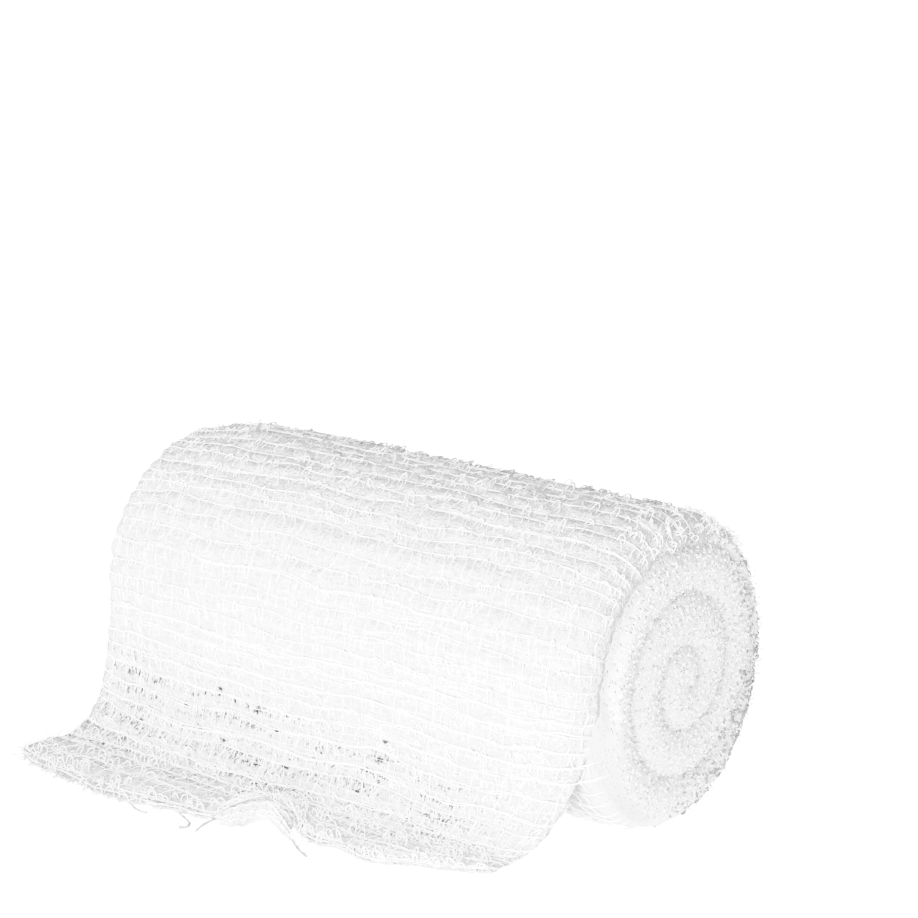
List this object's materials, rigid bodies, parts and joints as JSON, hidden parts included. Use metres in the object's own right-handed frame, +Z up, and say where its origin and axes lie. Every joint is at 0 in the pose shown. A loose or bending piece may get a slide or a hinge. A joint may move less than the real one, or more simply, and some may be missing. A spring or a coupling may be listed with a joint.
{
  "type": "gauze bandage roll",
  "caption": "Wound roll of crinkled white gauze bandage lying on its side, with the loose end hanging down its front and spread on the surface.",
  "frame": {"origin": "middle of the flat spot that the roll rests on", "axes": "+X along the roll's axis, towards the end that the picture shows; +Z up; the loose end lies towards -Y"},
  "size_m": [0.1174, 0.0836, 0.0564],
  "materials": {
    "wound_gauze": "open-weave crinkled cotton gauze, wound turns, white and matt",
    "loose_gauze": "open-weave crinkled cotton gauze, outermost turn and cut end, white and matt"
  },
  "bodies": {
    "root": {"wound_roll": "wound_gauze", "loose_end": "loose_gauze"}
  },
  "joints": []
}
